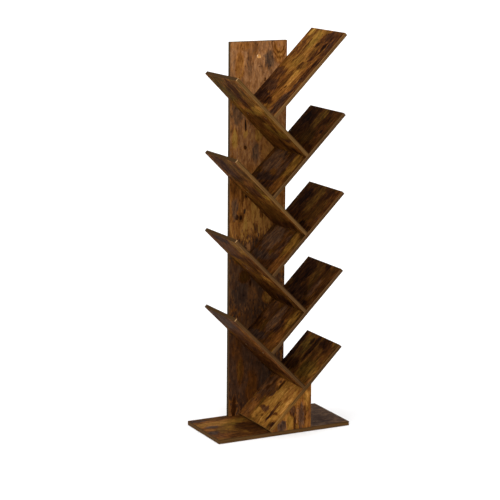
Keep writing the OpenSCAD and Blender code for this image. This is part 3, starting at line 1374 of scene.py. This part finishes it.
LEFT_1 = marks(
    (40, 104, 34, 16, 25), (18, 45, 16, 34, 22, -20), (75, 42, 12, 30, 28, -50),
    (40, 30, 30, 20, 54, 10), (104, 52, 24, 42, 55, 80), (140, 32, 20, 18, 58, 30),
    (178, 60, 26, 22, 42), (125, 70, 24, 14, 26, 10), (225, 64, 16, 36, 66, 80),
    (238, 26, 14, 28, 72, 50), (275, 52, 28, 16, 50, 40), (205, 120, 12, 60, 50, 70),
    (172, 112, 18, 24, 26, 20), (70, 165, 74, 45, 52, 10), (90, 212, 40, 22, 52, 40),
    (150, 170, 40, 40, 42), (262, 120, 40, 24, 26, -20), (318, 106, 42, 18, 18, -10),
    (310, 185, 60, 50, 37, 100), (306, 146, 26, 18, 30, 50), (345, 160, 24, 14, 42, 40),
    (338, 84, 34, 18, 28, 10), (330, 40, 40, 16, 38, 50), (366, 165, 14, 50, 38, 80),
    (366, 24, 14, 20, 46, 20),
)

LEFT_2 = marks(
    (40, 60, 30, 44, 26, 10), (20, 150, 20, 60, 36, -20), (95, 130, 50, 60, 44, 30),
    (100, 56, 44, 34, 42, 20), (150, 26, 30, 22, 50, 40), (194, 30, 16, 28, 62, 90),
    (205, 110, 32, 40, 30, -30), (225, 36, 18, 26, 42, 70), (262, 150, 18, 50, 30, 50),
    (325, 150, 66, 60, 24, -40), (330, 100, 60, 20, 32, 50), (290, 90, 30, 22, 32, 20),
    (340, 66, 34, 12, 40, 50), (320, 36, 60, 20, 35, 40), (360, 14, 20, 10, 50, 10),
)

LEFT_3 = marks(
    (35, 95, 42, 50, 22, -30), (60, 190, 40, 40, 30, 20), (110, 120, 30, 50, 27),
    (80, 34, 40, 24, 44, 30), (130, 60, 24, 30, 50, 40), (168, 62, 18, 30, 66, 40),
    (210, 52, 16, 14, 52), (240, 90, 46, 28, 27, 20), (200, 150, 20, 30, 42, -40),
    (262, 160, 14, 50, 26, -50), (250, 34, 40, 16, 32, 10), (310, 150, 34, 60, 41, -35),
    (340, 100, 50, 16, 34, 10), (362, 135, 20, 60, 25, -90), (340, 34, 46, 34, 58, 60),
    (300, 78, 24, 14, 40, 30),
)

LEFT_4 = marks(
    (95, 140, 46, 90, 24, -10), (20, 105, 26, 60, 52, 30), (45, 60, 16, 30, 36, -20),
    (140, 90, 30, 40, 29, 10), (200, 150, 44, 60, 27, -30), (225, 70, 44, 20, 38, 10),
    (330, 140, 60, 74, 36, -110), (362, 150, 16, 50, 36, -110), (285, 100, 20, 40, 30, -40),
    (262, 158, 20, 36, 22, -20), (190, 22, 180, 20, 52, -20), (300, 30, 60, 16, 50, 20),
)

TRUNK_MARKS = marks(
    (1250, 110, 140, 150, 85, -45, 40), (1258, 150, 32, 16, 54, -90, 80), (1290, 190, 42, 20, 88, 20),
    (1258, 76, 62, 10, 66, -60), (1240, 38, 56, 15, 80, 10), (1308, 60, 16, 40, 72, -10),
    (1190, 133, 7, 5, 30, -20), (1300, 88, 50, 20, 72, -30), (1020, 90, 175, 130, 84, -30, 40),
    (945, 152, 46, 34, 95, 10), (940, 104, 38, 15, 66, -80), (992, 20, 34, 12, 90, 80),
    (1004, 112, 28, 13, 88, 70), (1006, 60, 14, 6, 100, 50), (1034, 60, 19, 2.6, 2, 0, 60),
    (958, 58, 7, 5, 40), (1085, 32, 46, 24, 64, -70), (1075, 80, 40, 12, 66, -50),
    (740, 90, 150, 120, 79, 10, 40), (700, 112, 60, 38, 95, 30), (668, 150, 28, 26, 92, 20),
    (660, 12, 34, 13, 84, 10), (790, 50, 30, 7, 42, 10), (716, 27, 12, 8, 20, -50),
    (736, 60, 9, 5, 34, -60), (779, 86, 8, 5, 26, -20), (640, 62, 40, 20, 93, 40),
    (745, 96, 34, 14, 90, 50), (752, 20, 44, 12, 62, -70), (690, 66, 30, 9, 100, 60),
    (672, 104, 24, 8, 62, -20), (725, 126, 20, 7, 60), (822, 20, 44, 16, 58),
    (500, 90, 140, 130, 47, -60, 40), (440, 45, 44, 28, 38, -90), (430, 92, 42, 24, 58, -40),
    (420, 150, 24, 20, 84, 50), (475, 83, 14, 5, 20), (502, 60, 22, 22, 33, 40),
    (606, 76, 16, 9, 84, -30), (602, 66, 6, 4, 26), (585, 28, 40, 16, 62, 10),
    (190, 90, 200, 130, 38, -60, 35), (125, 150, 54, 28, 40, -80), (85, 140, 14, 11, 20, -20),
    (100, 90, 64, 26, 46), (120, 62, 44, 12, 38, -50), (165, 44, 52, 14, 46, 30),
    (245, 30, 44, 20, 42, -20), (30, 22, 40, 8, 26), (330, 62, 44, 30, 46, -40),
)

BASE_MARKS = marks(
    (80, 178, 84, 38, 70, 50), (160, 178, 36, 26, 62, 70), (120, 150, 40, 16, 56, 80),
    (84, 116, 38, 20, 56, 60), (22, 120, 22, 18, 56, 10), (46, 148, 26, 13, 44, -100),
    (24, 78, 24, 18, 36, -120), (60, 70, 30, 12, 42, 50), (165, 90, 44, 62, 22, 10),
    (166, 140, 30, 12, 20), (100, 60, 30, 14, 40, 30), (36, 36, 46, 24, 46, -10),
    (110, 24, 60, 22, 34, 10), (66, 13, 12, 5, 14), (170, 14, 34, 16, 28), (16, 228, 46, 15, 32, -120),
    (60, 205, 60, 8, 56), (430, 115, 120, 170, 46, -140, 35), (430, 60, 40, 40, 38, -150),
    (460, 150, 34, 40, 46, -110),
)

SUPPORT_MARKS = marks(
    (15, 136, 34, 18, 58, 10), (106, 137, 28, 12, 78, 50), (55, 130, 34, 6, 42),
    (40, 117, 48, 12, 46, -60), (45, 98, 28, 4.5, 70, -30), (18, 92, 32, 4, 24),
    (66, 80, 22, 12, 36, -30), (24, 70, 32, 14, 72, 70), (14, 40, 22, 18, 41, -80),
)

BASE = Base(BASE_MARKS)
TRUNK = Trunk(
    TRUNK_MARKS,
    (Knot(714, 44, 11, 8, 0.2, 0.16), Knot(1325, 192, 44, 22, 0.88, 0.36), Knot(788, 66, 8, 6, 0.26)),
)
SUPPORT = Support(SUPPORT_MARKS)
BRANCHES = (
    Branch(Side.RIGHT, 1, 0.54, 0.1, srgb(98, 69, 37), RIGHT_1),
    Branch(Side.RIGHT, 2, 0.38, 0.3, srgb(78, 55, 31), RIGHT_2),
    Branch(Side.RIGHT, 3, 0.37, 0.2, srgb(76, 52, 28), RIGHT_3),
    Branch(Side.RIGHT, 4, 0.35, 0.1, srgb(75, 52, 29), RIGHT_4),
    Branch(Side.RIGHT, 5, 0.5, 0.3, srgb(76, 52, 26), RIGHT_5, (Knot(14, 11, 13, 13, 0.16),)),
    Branch(Side.LEFT, 1, 0.5, 0.35, srgb(97, 69, 35), LEFT_1),
    Branch(Side.LEFT, 2, 0.44, 0.2, srgb(96, 68, 35), LEFT_2),
    Branch(Side.LEFT, 3, 0.4, 0.2, srgb(82, 57, 31), LEFT_3),
    Branch(Side.LEFT, 4, 0.34, 0.1, srgb(75, 51, 27), LEFT_4),
)


def main() -> None:
    """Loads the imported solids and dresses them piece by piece."""
    logging.basicConfig(level=logging.INFO, format="%(name)s: %(message)s", force=True)
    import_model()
    for part in (BASE, TRUNK, SUPPORT, *BRANCHES):
        piece = part.build()
        LOG.info("%s made, %d faces", piece.name, len(piece.data.polygons))
    Fasteners().build()
    Studio().build()


if __name__ == "__main__":
    main()
